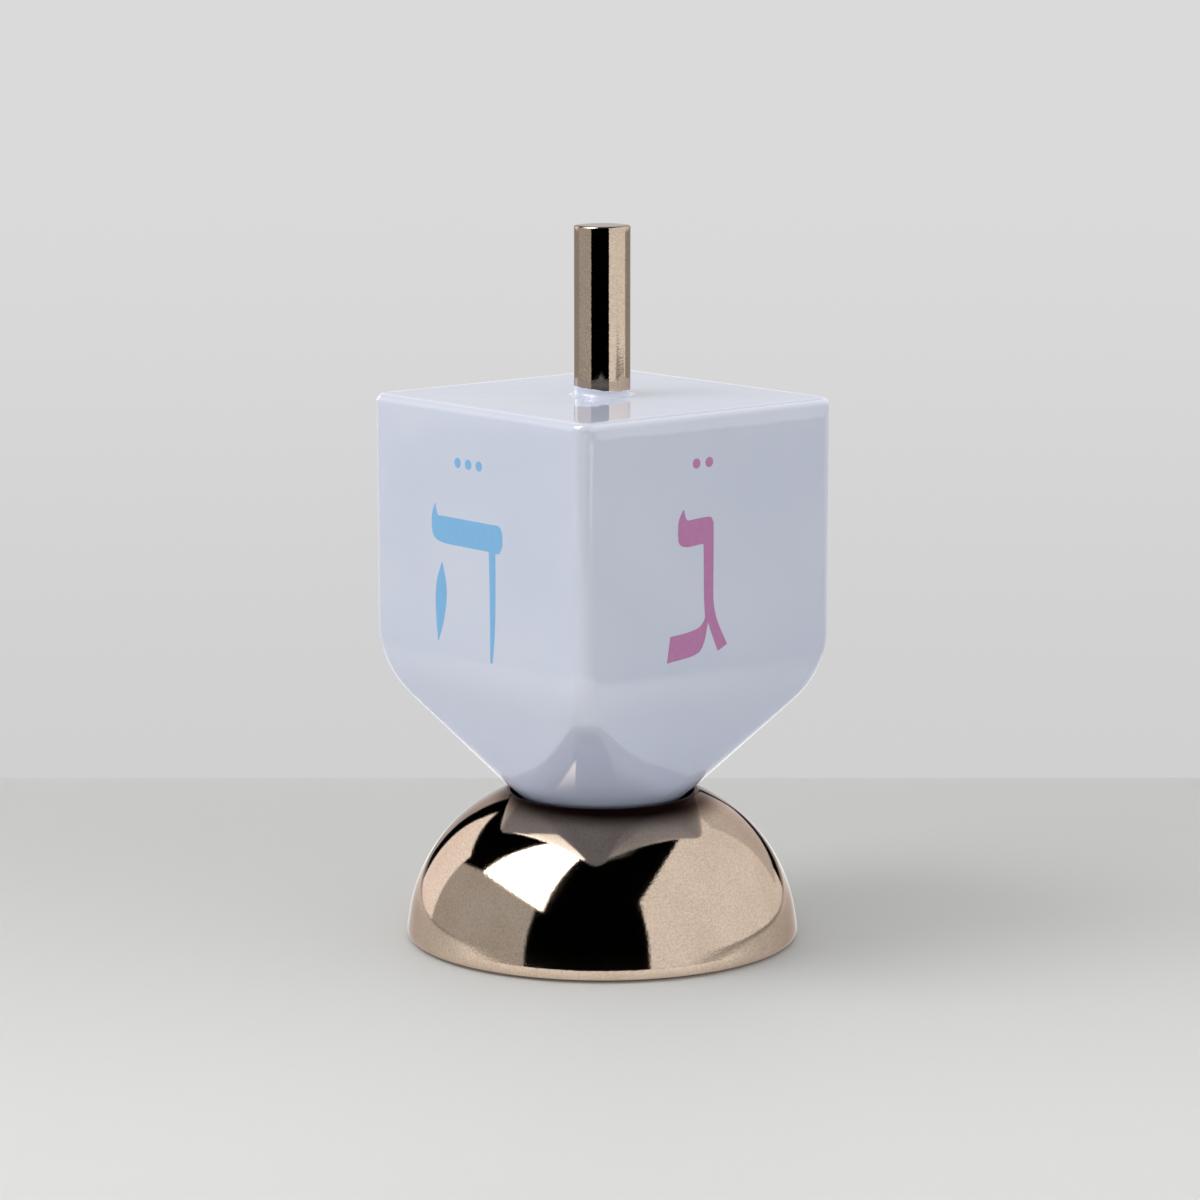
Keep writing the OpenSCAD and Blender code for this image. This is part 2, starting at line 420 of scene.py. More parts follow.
def body_skin(size):
    """The body's skin and, for each of its points, how much it lies on an edge."""
    rows = body_profile(size)
    centre, reach, corner = square_ring(flat_steps=18, corner_steps=14)
    width, round_r = rows[:, 0, None, None], rows[:, 1, None, None]
    plan = (width - round_r) * centre + round_r * reach
    level = np.broadcast_to(rows[:, 2, None, None] + size.tip_z, plan.shape[:2] + (1,))
    grid = np.concatenate([plan, level], axis=2)
    edge = np.maximum(corner**2 * rows[:, 4:], rows[:, 3:4])
    shell = skin(grid)
    flat = np.concatenate([edge[0, :1], edge[1:-1].ravel(), edge[-1, :1]])
    return shell, np.resize(flat, len(shell[0]))


def stem_profile(size):
    """Half section of the stem: spigot, flare, shaft and rounded end."""
    foot, tip = size.foot_z, size.foot_z + size.height
    low, chamfer = foot - size.spigot_l, 0.4 * MM
    wide = size.radius + size.flare
    return run(
        line([0, low], [size.spigot_r - chamfer, low]),
        line([size.spigot_r, low + chamfer], [size.spigot_r, foot], 4),
        line([size.spigot_r, foot], [wide, foot], 2),
        arc([wide, foot + size.flare], size.flare, 270, 180, 10),
        line([size.radius, foot + size.flare], [size.radius, tip - size.edge_r], 24),
        arc([size.radius - size.edge_r, tip - size.edge_r], size.edge_r, 0, 90, 6),
        line([size.radius - size.edge_r, tip], [0, tip], 5),
    )


def polar(point):
    """Direction of a point from the origin, in degrees."""
    return np.degrees(np.arctan2(point[1], point[0]))


def cone_out(body):
    """Direction in the half section that points straight out of the lower cone."""
    return np.array([np.cos(body.keel), -np.sin(body.keel)])


def cone_point(body, off, centre, radius):
    """Where a line that lies a distance off outside the cone meets a circle.

    The line is p + t d, with d up along the cone, so t solves |p + t d - c| = radius.
    """
    up = np.array([np.sin(body.keel), np.cos(body.keel)])
    ball = np.array([0, body.tip_z + body.tip_r])
    start = ball + (body.tip_r + off) * cone_out(body) - centre
    along = start @ up
    return centre + start + up * (np.sqrt(along**2 - start @ start + radius**2) - along)


def ring_middle(stand):
    """Centre of the cushion ring's section."""
    return np.array([stand.ring_out, stand.ring_low]) + stand.ring_t / 2 * np.array([-1, 1])


def stand_profile(stand, body):
    """Half section of the stand: seat, groove, lip, dome, foot, rebate and hollow in turn."""
    keel = np.degrees(body.keel)
    drop = stand.crown_h - stand.side_r
    crown_r = (stand.side_c**2 + stand.crown_h**2 - stand.side_r**2) / (2 * drop)
    crown = np.array([0, stand.crown_h - crown_r])
    side = np.array([stand.side_c, 0])
    join_a = polar(side - crown)

    ball = np.array([0, body.tip_z + body.tip_r])
    seat_r = body.tip_r + stand.seat_clear
    ring = ring_middle(stand)
    groove_r = stand.ring_t / 2 + stand.groove_clear
    groove_a = np.degrees(np.arccos(((ring - ball) @ cone_out(body) - seat_r) / groove_r))
    lip_c = cone_point(body, stand.seat_clear + stand.lip_r, crown, crown_r - stand.lip_r)
    lip_a = polar(lip_c - crown)
    under = cone_point(body, stand.seat_clear + stand.wall, crown, crown_r - stand.wall)

    foot_top = stand.foot_z + stand.foot_edge
    foot_a = np.degrees(stand.foot_turn)
    flank = arc([0, 0], 1, join_a, foot_a, 44)
    draft = np.linspace(0, stand.foot_in, len(flank))[:, None]
    flank = side + (stand.side_r - draft) * flank
    bend_top = foot_top + stand.foot_bend * np.sin(stand.foot_turn)
    wall = flank[-1, 0] + (flank[-1, 1] - bend_top) * np.tan(stand.foot_turn)
    bend_c = wall - stand.foot_bend * np.cos(stand.foot_turn)
    foot_c = bend_c + stand.foot_bend - stand.foot_edge
    rebate_r = stand.pad_r + stand.pad_clear
    inner_side = stand.side_r - stand.wall
    hollow_a = np.degrees(np.arcsin(stand.pad_t / inner_side))
    return run(
        arc(ball, seat_r, -90, -keel, 24),
        arc(ring, groove_r, 180 - keel + groove_a, 540 - keel - groove_a, 24),
        arc(lip_c, stand.lip_r, 180 - keel, lip_a, 16),
        arc(crown, crown_r, lip_a, join_a, 20),
        flank,
        arc([bend_c, foot_top], stand.foot_bend, foot_a, 0, 6),
        arc([foot_c, foot_top], stand.foot_edge, 0, -90, 10),
        line([foot_c, stand.foot_z], [rebate_r, stand.foot_z]),
        line([rebate_r, stand.foot_z], [rebate_r, stand.pad_t]),
        arc(side, inner_side, hollow_a, join_a, 20),
        arc(crown, crown_r - stand.wall, join_a, polar(under - crown), 10),
        arc(ball, seat_r + stand.wall, -keel, -90, 16),
    )


def ring_profile(stand):
    """Section of the cushion ring, pressed a little where the ridges bear on it."""
    turn = np.linspace(0, 2 * np.pi, 40, endpoint=False)[:, None]
    bearing, spread, give = np.radians(132), 0.4, 0.04
    pressed = np.exp(-(((turn - bearing) / spread) ** 2))
    radius = stand.ring_t / 2 * (1 - give * pressed)
    return ring_middle(stand) + radius * np.concatenate([np.cos(turn), np.sin(turn)], axis=1)


def pad_grid(stand, columns):
    """Felt disc: a cut edge that wanders a little, soft rims and a faintly uneven underside."""
    soft, dent, uneven = 0.25 * MM, 0.02 * MM, 0.0004
    waves, weave = np.array([7, 13, 29]), np.array([900, 840])
    profile = run(
        line([0, 0], [stand.pad_r - soft, 0], 30),
        arc([stand.pad_r - soft, soft], soft, -90, 0, 5),
        arc([stand.pad_r - soft, stand.pad_t - soft], soft, 0, 90, 5),
        line([stand.pad_r - soft, stand.pad_t], [0, stand.pad_t], 12),
    )
    grid = turned(profile, columns)
    turn = np.arctan2(grid[..., 1], grid[..., 0])
    wander = np.sin(turn[..., None] * waves + np.arange(len(waves))).sum(axis=2)
    grid[..., :2] *= (1 - uneven * (wander + len(waves)) / 2)[..., None]
    ripple = np.sin(grid[..., :2] * weave).prod(axis=2)
    low = np.clip(1 - grid[..., 2] / soft, 0, 1)
    grid[..., 2] += low * dent * (1 + ripple)
    return grid


# Prints


def moved(stroke, across):
    """The same stroke further to the right."""
    return np.array(stroke) + [across, 0, across, 0]


# Each stroke is a row of knots, and a knot is a point of its left edge and one of its right, in
# millimetres from the middle of a letter that is as high as LETTER_UNITS
LETTER_UNITS = 29 * MM
HAY = [
    [
        (-9.9, 10.3, -9.9, 9.9),
        (-8.7, 12, -9.2, 8),
        (-6, 12.3, -6.6, 7.1),
        (0, 12.3, 0, 7),
        (6.4, 12.3, 5.6, 7),
        (9.2, 12.2, 9, 6.9),
        (10.1, 10.8, 10.1, 8.6),
    ],
    [(-9.9, 10, -7.2, 11.6), (-9.8, 12.4, -8.3, 12.6), (-9, 14.5, -8.8, 14.5)],
    [(6.3, 7.6, 8.1, 7.6), (6.5, 0, 8.1, 0), (6.6, -8, 7.9, -8), (6.6, -14.5, 7.2, -14.5)],
    [
        (-7.1, 3.2, -6.9, 3.2),
        (-8.5, -0.5, -5.9, -0.5),
        (-8.9, -4.6, -5.8, -4),
        (-8.6, -9, -6.7, -8.4),
        (-8.3, -12.2, -8.1, -12.2),
    ],
]
HEAD = [
    [
        (-4.6, 10.1, -4.6, 9.7),
        (-3.9, 12.1, -4.2, 8),
        (-1.5, 12.4, -2.5, 7.3),
        (1.5, 12.6, 0.5, 7.5),
        (3.1, 12.5, 2.5, 7.6),
        (3.8, 11.4, 3.8, 8.6),
    ],
    [(-4.6, 9.9, -1.7, 11.9), (-4.4, 12.5, -2.7, 12.8), (-3.4, 14.5, -3.2, 14.5)],
]
GIMEL = [
    *HEAD,
    [(1.4, 9, 3.8, 9.6), (1.5, 3, 3.8, 3), (1.6, -3, 3.8, -3), (1.9, -7.2, 4.2, -6.2)],
    [(1.7, -5, 3.9, -4.6), (2.8, -8.4, 4.8, -7.8), (4.9, -13.6, 7.1, -12.5)],
    [
        (2.4, -5.6, 2.6, -7.4),
        (0.9, -8.2, 1.5, -11.8),
        (-2, -9.1, -0.6, -13.7),
        (-6.3, -9.5, -7.1, -14.5),
    ],
]
NUN = [
    *(moved(stroke, 1.0) for stroke in HEAD),
    [(2.4, 9, 4.8, 9.6), (2.5, 3, 4.8, 3), (2.5, -3, 4.8, -3), (2.3, -8.6, 4.6, -9.6)],
    [
        (2.5, -7.8, 4.7, -8.6),
        (1.2, -9.4, 4.2, -12.6),
        (-1.6, -9.6, 2.2, -14.3),
        (-6, -9.7, -6.7, -14.5),
    ],
]
TICK = [(-10.8, 10.6, -8, 10.6), (-10.6, 12.8, -9, 12.6), (-9.8, 14.5, -9.6, 14.5)]
SHIN = [
    [(-10.8, 11, -6.2, 10.4), (-10.3, 4, -7.7, 5), (-9.1, -5, -7.2, -4), (-8.2, -14.3, -6, -13.6)],
    [(-2.6, 11, 2, 10.4), (-2.4, 6.5, 0.8, 5.4), (-3.6, 0, -1.6, -1.5), (-7.4, -5.6, -7.2, -8.2)],
    [(6.2, 11, 10.8, 10.4), (6.6, 4.5, 10.2, 2), (5.2, -4, 8.2, -7.5), (1, -10.9, 3.2, -14.5)],
    [
        (-8, -11.2, -8.2, -14.5),
        (-4, -10.9, -4, -14.5),
        (0, -10.7, 0, -14.5),
        (3.6, -10.4, 3.2, -14.5),
    ],
    *(moved(TICK, across) for across in (0, 8.2, 17.0)),
]

# Letter, strokes, face's turn from +X in quarters, ink, pips, shifts of letter and pips to the
# right, and shift of both upwards, in millimetres
FACES = [
    ("nun", NUN, 0, "blue", 1, -1.0, -1.0, 0.5),
    ("shin", SHIN, 1, "mauve", 4, -1.0, -1.0, 0.5),
    ("hay", HAY, 2, "blue", 3, -2.0, -1.4, 0.0),
    ("gimel", GIMEL, 3, "mauve", 2, -3.6, -2.4, 1.2),
]


def smooth_curve(knots, steps):
    """Curve through its knots, each stretch a cubic with slopes from the neighbouring knots."""
    knots = np.array(knots, float)
    padded = np.concatenate([2 * knots[:1] - knots[1:2], knots, 2 * knots[-1:] - knots[-2:-1]])
    place = np.linspace(0, len(knots) - 1, steps)
    first = np.minimum(place.astype(int), len(knots) - 2)
    t = (place - first)[:, None]
    a, b, c, d = (padded[first + i] for i in range(4))
    return b + t / 2 * (c - a + t * (2 * a - 5 * b + 4 * c - d + t * (3 * (b - c) + d - a)))


def on_face(size, quarter, across, height, lift):
    """Points on a face: lift out along its normal from w(z), across to its right, up to height."""
    turn = quarter * np.pi / 2
    normal = np.array([np.cos(turn), np.sin(turn)])
    right = np.array([-np.sin(turn), np.cos(turn)])
    out = half_width(size, height - size.tip_z) + lift
    plan = out[..., None] * normal + across[..., None] * right
    return np.concatenate([plan, height[..., None]], axis=2)


def stroke_skin(body, prints, quarter, knots, shift, raised, layer):
    """Film between two edge curves: (1 - v) A(t) + v B(t) on the face, with a flat underside."""
    steps, lanes = 48, np.linspace(0, 1, 7)
    left, right = np.split(smooth_curve(knots, steps)[:, None] * MM, 2, axis=2)
    lane = np.concatenate([lanes, lanes[::-1]])[None, :, None]
    spot = left * (1 - lane) + right * lane
    scale = prints.letter_h / LETTER_UNITS
    top = prints.proud + layer * prints.layer
    lift = np.repeat([top, -prints.depth], len(lanes))[None] * np.ones((steps, 1))
    across, height = spot[..., 0] + shift, spot[..., 1] * scale + prints.letter_z + raised
    return skin(on_face(body, quarter, across, height, lift))


def pip_skin(body, prints, quarter, middle, raised):
    """Round dot on the face: a disc of film in rings, closed below."""
    upper, lower = np.linspace(0, 1, 5), np.linspace(1, 0, 3)
    ring = np.concatenate([upper, lower])[:, None] * prints.pip_r
    turn = np.linspace(0, 2 * np.pi, 32, endpoint=False)
    sides = [len(upper), len(lower)]
    lift = np.repeat([prints.proud, -prints.depth], sides)[:, None] * np.ones_like(turn)
    across = middle + ring * np.cos(turn)
    height = prints.pip_z + raised + ring * np.sin(turn)
    return skin(on_face(body, quarter, across, height, lift))


# Finishes


class Wire:
    """A node socket that takes part in sums: each operator adds one Math node."""

    def __init__(self, tree, socket=None):
        self.tree = tree
        self.socket = socket

    def node(self, kind, settings=None, inputs=None, output=0):
        """A new node: its settings are set first, then its sockets get values or links."""
        made = self.tree.nodes.new(kind)
        for key, value in (settings or {}).items():
            setattr(made, key, value)
        for key, value in (inputs or {}).items():
            if isinstance(value, Wire):
                self.tree.links.new(value.socket, made.inputs[key])
            else:
                made.inputs[key].default_value = value
        return Wire(self.tree, made.outputs[output] if made.outputs else None)

    def math(self, operation, *values):
        """One Math node on the values."""
        return self.node("ShaderNodeMath", {"operation": operation}, dict(enumerate(values)))

    def __add__(self, other):
        return self.math("ADD", self, other)

    def __sub__(self, other):
        return self.math("SUBTRACT", self, other)

    def __rsub__(self, other):
        return self.math("SUBTRACT", other, self)

    def __mul__(self, other):
        return self.math("MULTIPLY", self, other)

    def __truediv__(self, other):
        return self.math("DIVIDE", self, other)

    __radd__ = __add__
    __rmul__ = __mul__

    def above(self, edge, soft):
        """0 below the edge and 1 above it, with a ramp of the given width."""
        return self.node(
            "ShaderNodeMapRange",
            {"interpolation_type": "SMOOTHSTEP"},
            {"Value": self, "From Min": edge - soft / 2, "From Max": edge + soft / 2},
        )

    def between(self, low, high, soft):
        """1 between two edges and 0 outside them, with ramps of the given width."""
        return self.above(low, soft) * (1 - self.above(high, soft))

    def blend(self, first, second):
        """Colour that goes from first to second as this value goes from 0 to 1."""
        ends = {0: self, 6: first, 7: second}
        ends = {k: v if isinstance(v, Wire) else (*v, 1.0) for k, v in ends.items()}
        return self.node("ShaderNodeMix", {"data_type": "RGBA"}, ends, output=2)

    def along(self, direction):
        """This vector's length along a direction."""
        inputs = {0: self, 1: tuple(direction)}
        return self.node("ShaderNodeVectorMath", {"operation": "DOT_PRODUCT"}, inputs, "Value")

    def reach(self, middle=(0.0, 0.0)):
        """This place's distance from an upright line."""
        x = self.along((1, 0, 0)) - middle[0]
        y = self.along((0, 1, 0)) - middle[1]
        return self.math("SQRT", x * x + y * y)

    def noise(self, scale, detail=2.0, roughness=0.5):
        """Noise over this place, with the given number of features to the metre."""
        inputs = {"Vector": self, "Scale": scale, "Detail": detail, "Roughness": roughness}
        return self.node("ShaderNodeTexNoise", None, inputs)

    def bump(self, distance, normal=None):
        """Normal over this height field, whose full range is the given distance."""
        inputs = {"Height": self, "Distance": distance, "Strength": 1.0}
        if normal:
            inputs["Normal"] = normal
        return self.node("ShaderNodeBump", None, inputs)


def shade(tone, factor, plus=0.0):
    """A colour made lighter or darker."""
    return tuple(factor * part + plus for part in tone)


def start_finish(name):
    """A new material, its wire and its Object coordinates."""
    material = bpy.data.materials.new(name)
    material.use_nodes = True
    material.node_tree.nodes.clear()
    wire = Wire(material.node_tree)
    return material, wire, wire.node("ShaderNodeTexCoord", output="Object")


def end_finish(wire, **sockets):
    """Principled surface whose sockets are named with underscores for spaces."""
    names = {key.replace("_", " "): value for key, value in sockets.items()}
    shader = wire.node("ShaderNodeBsdfPrincipled", None, names)
    wire.node("ShaderNodeOutputMaterial", None, {"Surface": shader})


GLAZE_IOR = 1.5


def glaze_ripple(where):
    """Normal of the glaze's slow ripple, which shows through the prints too."""
    return where.noise(70.0).bump(0.05 * MM)


def glaze_finish(colours, body):
    """Glossy glaze: cloudy lavender, bluer low down, paler on edges, with a soft ripple."""
    material, wire, where = start_finish("lavender_glaze")
    cloud = where.noise(38.0, 3.0)
    # Paler on edges and ridges: partly thin glaze, partly a painted highlight
    thin = wire.node("ShaderNodeAttribute", {"attribute_name": "edge"}, None, "Fac")
    tone = cloud.above(0.5, 0.5).blend(colours.glaze, colours.glaze_deep)
    # The glaze turns bluer towards the tip, below the shoulder's bend
    bend_z = body.tip_z + body.shoulder_z - body.shoulder_r / 2
    high = where.along(UP).above(bend_z, 24 * MM)
    tone = high.blend(colours.glaze_low, tone)
    specks = where.noise(2600.0, 1.0)
    end_finish(
        wire,
        Base_Color=(thin * 0.5).blend(tone, colours.glaze_thin_and_highlight),
        Roughness=0.012 + 0.02 * cloud + 0.012 * specks,
        IOR=GLAZE_IOR,
        Normal=specks.bump(0.0012 * MM, glaze_ripple(where)),
    )
    return material


def lustre_nodes(where, colours):
    """Colour, roughness and normal of the lustre: fine sandy grain over a slow wave."""
    grain = where.noise(2600.0, 3.0)
    patch = where.noise(120.0, 3.0)
    wave = where.noise(55.0, 1.0).bump(0.05 * MM)
    uneven = (0.3 * patch + 0.7 * grain).above(0.5, 0.3)
    tone = uneven.blend(colours.lustre, colours.lustre_deep)
    rough = 0.025 + 0.03 * patch + 0.03 * grain
    return tone, rough, grain.bump(0.005 * MM, wave)


# Share of its sheen that the lustre keeps where it is seen edge on
LUSTRE_EDGE = (0.69, 0.62, 0.60, 1)


def lustre_finish(colours, stand, studio):
    """Mirror-bright platinum lustre, rubbed thin round the seat, which is matt and dark."""
    material, wire, where = start_finish("platinum_lustre")
    tone, rough, normal = lustre_nodes(where, colours)
    # Painted shade: inside the dark seat's radius the finish is matt and dark, not metal, standing
    # in for the crevice's shadow
    metal = where.reach().above(stand.dark_seat_r, 0.6 * MM)
    # Painted shadow: the lustre fades dark round the seat, more towards the camera and the right,
    # where the crevice is in shade
    away, right = camera_axes(studio)
    middle = stand.shadow_front * away + stand.shadow_side * right
    clear_of_shadow = where.reach(middle).above(stand.shadow_r, stand.shadow_soft)
    tone = clear_of_shadow.blend(colours.worn, tone)
    end_finish(
        wire,
        Base_Color=metal.blend(colours.seat, tone),
        Metallic=metal,
        Roughness=rough + 0.85 * (1 - metal),
        Specular_IOR_Level=0.0,
        Specular_Tint=LUSTRE_EDGE,
        Normal=normal,
    )
    return material


def stem_finish(colours, stem):
    """Lustre over a glazed foot, with the brushed edge of the lustre a little uneven."""
    material, wire, where = start_finish("stem_lustre")
    tone, rough, normal = lustre_nodes(where, colours)
    uneven, tilt = 0.9 * MM, (-0.05, 0.06, 0)
    wander = where.noise(260.0) * uneven + where.along(tilt)
    line_z = stem.foot_z + stem.painted - uneven / 2
    metal = (where.along(UP) - wander).above(line_z, 0.08 * MM)
    end_finish(
        wire,
        Base_Color=metal.blend(colours.glaze, tone),
        Metallic=metal,
        Roughness=rough + 0.03 * (1 - metal),
        IOR=GLAZE_IOR,
        Specular_Tint=LUSTRE_EDGE,
        Normal=normal,
    )
    return material


def ink_finish(name, ink):
    """Fired ceramic print: even colour with faint mottling and nearly the glaze's gloss."""
    material, wire, where = start_finish(name)
    mottle = where.noise(900.0, 3.0)
    paler = shade(ink, 0.95, plus=0.035)
    end_finish(
        wire,
        Base_Color=mottle.above(0.55, 0.5).blend(ink, paler),
        Roughness=0.1 + 0.08 * mottle,
        IOR=GLAZE_IOR,
        Normal=glaze_ripple(where),
    )
    return material


def rubber_finish(colours):
    """Satin black rubber with a moulded skin and paler bloom."""
    material, wire, where = start_finish("black_rubber")
    bloom = where.noise(700.0, 4.0)
    dusty = shade(colours.rubber, 2.2, plus=0.004)
    end_finish(
        wire,
        Base_Color=bloom.above(0.6, 0.4).blend(colours.rubber, dusty),
        Roughness=0.42 + 0.25 * bloom,
        Normal=where.noise(3800.0).bump(0.01 * MM),
    )
    return material


def felt_finish(colours):
    """Dense felt: matted fibres in two tones, with a soft sheen."""
    material, wire, where = start_finish("felt")
    fibre = where.noise(2400.0, 6.0, 0.7)
    matted = where.noise(420.0, 3.0)
    proud = (fibre * 0.7 + matted * 0.3).above(0.5, 0.35)
    end_finish(
        wire,
        Base_Color=proud.blend(shade(colours.felt, 0.55), shade(colours.felt, 1.5)),
        Roughness=0.9 + 0.1 * fibre,
        Sheen_Weight=0.3,
        Normal=(fibre + matted).bump(0.12 * MM),
    )
    return material


# Studio


def camera_axes(studio):
    """Unit vectors from the object towards the camera and to the picture's right, both level."""
    away = np.array([-np.sin(studio.azimuth), -np.cos(studio.azimuth), 0])
    return away, np.array([np.cos(studio.azimuth), -np.sin(studio.azimuth), 0])


# Soft box: turn from the camera to the right and height in degrees, distance and side
KEY_TURN, KEY_RISE, KEY_REACH, KEY_SIDE = -76, 53, 1.4, 0.65
# Cards round the set that mirrors see: turn from the camera to the right in degrees, left and
# right edge and lower and upper edge as slopes from the set, and level
CARDS = [
    (88, -1.73, 1.73, -0.9, 1.73, 2.0),
    (-65, -1.54, 0.344, -0.9, 0.846, 1.02),
    (-137, -0.26, 0.27, -0.9, 0.58, 2.5),
    (149, -0.18, 0.325, 0.05, 0.75, 1.45),
    (180, -0.19, 0.36, -0.9, 1.0, 1.0),
    (180, -0.10, 0.10, 0.08, 0.30, 0.70),
    (KEY_TURN, -0.475, 0.7, 0.75, 5.0, 12.0),
]
CARD_SOFT = 0.02
# Levels that mirrors see straight overhead, and low down behind the set
OVERHEAD, LOW_BEHIND = 0.45, 0.8


def mirrored_level(toward, away, right):
    """Level that mirrors see in a direction: cards in the dark, the later ones in front."""
    rise = toward.along(UP)
    level = rise.above(0.975, 0.03) * OVERHEAD
    for turn, left, stop, bottom, top, bright in CARDS:
        turn = np.radians(turn)
        facing = toward.along(np.cos(turn) * away + np.sin(turn) * right)
        side = toward.along(np.cos(turn) * right - np.sin(turn) * away) / facing
        inside = side.between(left, stop, CARD_SOFT)
        inside = inside * (rise / facing).between(bottom, top, CARD_SOFT)
        inside = inside * facing.above(0.02, 0.01)
        level = level * (1 - inside) + inside * bright
    behind = 1 - toward.along(away).above(-0.3, 0.1)
    low = behind * (1 - rise.above(-0.04, 0.04))
    return level * (1 - low) + low * LOW_BEHIND


def world_light(studio):
    """Backdrop for the camera, cards for mirrors, and a fill that is dimmer from the camera."""
    world = bpy.data.worlds.new("studio")
    world.use_nodes = True
    world.node_tree.nodes.clear()
    wire = Wire(world.node_tree)
    toward = wire.node("ShaderNodeTexCoord", output="Generated")
    away, right = camera_axes(studio)
    rise = toward.along(UP)
    seen = wire.node("ShaderNodeLightPath", output="Is Camera Ray")
    mirrored = wire.node("ShaderNodeLightPath", output="Is Glossy Ray")
    ahead = toward.along(away).above(0.78, 0.3)
    ahead = ahead * (1 - rise.above(0.62, 0.3))
    fill = studio.ambient * (1 - studio.dimmed * ahead)
    level = mirrored_level(toward, away, right) * mirrored + fill * (1 - mirrored)
    grey = wire.node("ShaderNodeCombineColor", None, {0: level, 1: level, 2: level})
    low_wall = shade(studio.wall, studio.wall_low)
    backdrop = rise.above(-0.14, 0.16).blend(low_wall, studio.wall)
    shown = wire.node("ShaderNodeBackground", None, {"Color": seen.blend(grey, backdrop)})
    wire.node("ShaderNodeOutputWorld", None, {"Surface": shown})
    bpy.context.scene.world = world


def soft_box(studio):
    """Square lamp, above and to the left, that looks at the dreidel and that mirrors don't see."""
    away, right = camera_axes(studio)
    turn, rise = np.radians([KEY_TURN, KEY_RISE])
    level = np.cos(turn) * away + np.sin(turn) * right
    place = Vector(KEY_REACH * (np.cos(rise) * level + np.array([0, 0, np.sin(rise)])))
    lamp = bpy.data.lights.new("soft_box", "AREA")
    lamp.shape = "SQUARE"
    lamp.size = KEY_SIDE
    lamp.energy = studio.key * np.pi * KEY_SIDE**2
    made = add_object("soft_box", lamp)
    made.location = place + Vector((0, 0, studio.aim_z))
    made.rotation_euler = (-place).to_track_quat("-Z", "Y").to_euler()
    made.visible_camera = False
    made.visible_glossy = False


def floor_finish(studio):
    """Plain pale table top, a little deeper in tone towards its far edge.

    Mirrors see it brighter round the stand, least beside it and not far to the right.
    """
    material, wire, where = start_finish("pale_floor")
    away, right = camera_axes(studio)
    ahead, aside = where.along(away), where.along(right)
    # Painted shade: the table top darkens from near to far
    near = ahead.above(0.02, 0.26)
    cloud = where.noise(14.0, 3.0)
    mirrored = wire.node("ShaderNodeLightPath", output="Is Glossy Ray")
    front = ahead.above(0.03, 0.05)
    behind = 1 - ahead.above(-0.07, 0.06)
    round_stand = 1 - where.reach().above(0.2, 0.1)
    # Painted light: within reach of the stand the table glows for mirror rays, most in front, less
    # behind, least beside it, and not far to the right, where the stand's shadow falls
    lit = mirrored * round_stand * (0.48 + 0.52 * front + 0.2 * behind)
    lit = lit * (1 - aside.above(0.14, 0.08))
    end_finish(
        wire,
        Base_Color=near.blend(shade(studio.floor, studio.floor_far_shade), studio.floor),
        Roughness=0.55 + 0.1 * cloud,
        Specular_IOR_Level=0.25,
        Emission_Color=lit.blend((0, 0, 0), studio.floor),
        Emission_Strength=studio.floor_lit,
    )
    return material


def add_floor(studio):
    """Flat table top with its edges along the picture, a hair below the pad."""
    away, right = camera_axes(studio)
    sunk = np.array([0, 0, 0.05 * MM])
    back, front = -studio.table_back, studio.table_front
    deep = np.array([back, front, front, back])
    wide = np.array([-1, -1, 1, 1]) * studio.table_side
    points = deep[:, None] * away + wide[:, None] * right - sunk
    mesh = bpy.data.meshes.new("floor")
    mesh.from_pydata(points.tolist(), [], [[0, 1, 2, 3]])
    mesh.materials.append(floor_finish(studio))
    floor = add_object("floor", mesh)


def add_camera(studio):
    """Camera on the photograph's line of sight."""
    away, right = camera_axes(studio)
    aim = np.array([0, 0, studio.aim_z]) - studio.aim_side * right
    back = np.cos(studio.pitch) * away + np.array([0, 0, np.sin(studio.pitch)])
    camera = add_object("camera", bpy.data.cameras.new("camera"))
    camera.data.sensor_width = SENSOR
    camera.data.lens = SENSOR * studio.focal / IMAGE_SIDE
    camera.data.clip_start, camera.data.clip_end = 0.01, 50.0
    camera.location = Vector(aim + studio.distance * back)
    camera.rotation_euler = Vector(-back).to_track_quat("-Z", "Y").to_euler()
    bpy.context.scene.camera = camera


# Operators


class DREIDEL_OT_stand(bpy.types.Operator):
    """Makes the hollow domed stand with its bowl and groove"""

    bl_idname = "dreidel.stand"
    bl_label = "Domed Stand"

    def execute(self, context):
        scene = context.scene
        stand, studio = scene.dreidel_stand, scene.dreidel_studio
        dome = skin(turned(stand_profile(stand, scene.dreidel_body), studio.columns))
        finish = lustre_finish(scene.dreidel_colours, stand, studio)
        add_piece("domed_stand", [dome], finish, "stand", ["stand_dome"])
        return {"FINISHED"}


class DREIDEL_OT_pad(bpy.types.Operator):
    """Makes the felt pad under the stand"""

    bl_idname = "dreidel.pad"
    bl_label = "Felt Pad"

    def execute(self, context):
        stand = context.scene.dreidel_stand
        disc = skin(pad_grid(stand, context.scene.dreidel_studio.columns))
        finish = felt_finish(context.scene.dreidel_colours)
        pad = add_piece("felt_pad", [disc], finish, "stand", ["base_pad"])
        return {"FINISHED"}


class DREIDEL_OT_ring(bpy.types.Operator):
    """Makes the cushion ring in the seat"""

    bl_idname = "dreidel.ring"
    bl_label = "Cushion Ring"

    def execute(self, context):
        section = ring_profile(context.scene.dreidel_stand)
        grid = turned(section, context.scene.dreidel_studio.columns).swapaxes(0, 1)
        finish = rubber_finish(context.scene.dreidel_colours)
        ring = skin(grid, loop=True)
        add_piece("cushion_ring", [ring], finish, "cushion", ["seat_ring"])
        return {"FINISHED"}


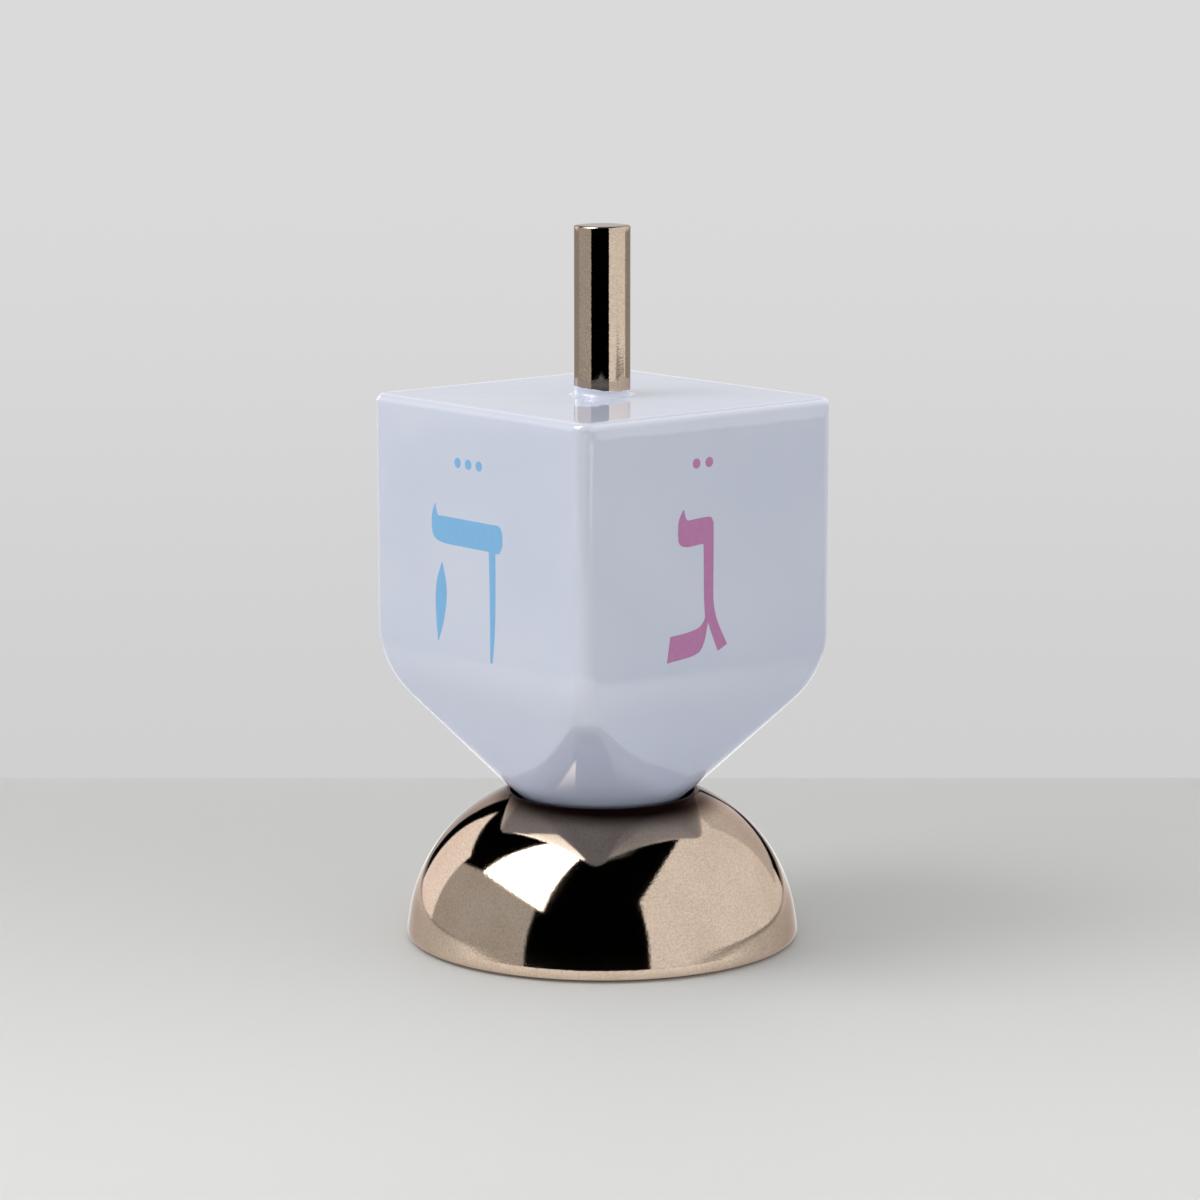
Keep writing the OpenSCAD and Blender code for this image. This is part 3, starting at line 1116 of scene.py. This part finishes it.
class DREIDEL_OT_body(bpy.types.Operator):
    """Makes the hollow glazed body"""

    bl_idname = "dreidel.body"
    bl_label = "Dreidel Body"

    def execute(self, context):
        shell, edge = body_skin(context.scene.dreidel_body)
        finish = glaze_finish(context.scene.dreidel_colours, context.scene.dreidel_body)
        slot, node = "glazed_porcelain", "dreidel_body"
        add_piece("glazed_body", [shell], finish, "dreidel", [node], edge)
        return {"FINISHED"}


class DREIDEL_OT_stem(bpy.types.Operator):
    """Makes the stem with its spigot"""

    bl_idname = "dreidel.stem"
    bl_label = "Stem"

    def execute(self, context):
        stem = context.scene.dreidel_stem
        columns = context.scene.dreidel_studio.columns // 2
        shaft = skin(turned(stem_profile(stem), columns))
        finish = stem_finish(context.scene.dreidel_colours, stem)
        add_piece("lustre_stem", [shaft], finish, "dreidel", ["stem"])
        return {"FINISHED"}


class DREIDEL_OT_letters(bpy.types.Operator):
    """Prints a letter and a row of pips on each face"""

    bl_idname = "dreidel.letters"
    bl_label = "Letters"

    def execute(self, context):
        scene = context.scene
        body, prints, colours = scene.dreidel_body, scene.dreidel_print, scene.dreidel_colours
        inks = {
            key: ink_finish(f"{key}_print", tuple(getattr(colours, key)))
            for key in ("blue", "mauve")
        }
        for letter, strokes, quarter, ink, pips, shift, pip_shift, raised in FACES:
            films = [
                stroke_skin(body, prints, quarter, knots, shift * MM, raised * MM, layer)
                for layer, knots in enumerate(strokes)
            ]
            row = (np.arange(pips) - (pips - 1) / 2) * prints.pip_step + pip_shift * MM
            films += [pip_skin(body, prints, quarter, middle, raised * MM) for middle in row]
            add_piece(f"print_{letter}", films, inks[ink], "dreidel")
        return {"FINISHED"}


class DREIDEL_OT_stage(bpy.types.Operator):
    """Makes the floor, the light and the camera"""

    bl_idname = "dreidel.stage"
    bl_label = "Studio"

    def execute(self, context):
        studio = context.scene.dreidel_studio
        context.scene.view_settings.view_transform = "Standard"
        add_floor(studio)
        world_light(studio)
        soft_box(studio)
        add_camera(studio)
        return {"FINISHED"}


OPERATORS = [
    DREIDEL_OT_stand,
    DREIDEL_OT_pad,
    DREIDEL_OT_ring,
    DREIDEL_OT_body,
    DREIDEL_OT_stem,
    DREIDEL_OT_letters,
    DREIDEL_OT_stage,
]
GROUPS = {
    "dreidel_body": DreidelBodySizes,
    "dreidel_stem": DreidelStemSizes,
    "dreidel_stand": DreidelStandSizes,
    "dreidel_print": DreidelPrintSizes,
    "dreidel_colours": DreidelColours,
    "dreidel_studio": DreidelStudio,
}


class DREIDEL_PT_panel(bpy.types.Panel):
    """Lists the steps that build the dreidel"""

    bl_idname = "DREIDEL_PT_panel"
    bl_label = "Porcelain Dreidel"
    bl_space_type = "VIEW_3D"
    bl_region_type = "UI"
    bl_category = "Dreidel"

    def draw(self, context):
        for step in OPERATORS:
            self.layout.operator(step.bl_idname)
        for key, group in GROUPS.items():
            column = self.layout.column(heading=group.__doc__)
            for name in group.__annotations__:
                column.prop(getattr(context.scene, key), name)


CLASSES = [*GROUPS.values(), *OPERATORS, DREIDEL_PT_panel]


def register():
    for kind in CLASSES:
        bpy.utils.register_class(kind)
    for key, group in GROUPS.items():
        setattr(bpy.types.Scene, key, PointerProperty(type=group))


def unregister():
    for key in GROUPS:
        delattr(bpy.types.Scene, key)
    for kind in reversed(CLASSES):
        bpy.utils.unregister_class(kind)


def main():
    register()
    bpy.ops.dreidel.stand()
    bpy.ops.dreidel.pad()
    bpy.ops.dreidel.ring()
    bpy.ops.dreidel.body()
    bpy.ops.dreidel.stem()
    bpy.ops.dreidel.letters()
    bpy.ops.dreidel.stage()


if __name__ == "__main__":
    main()
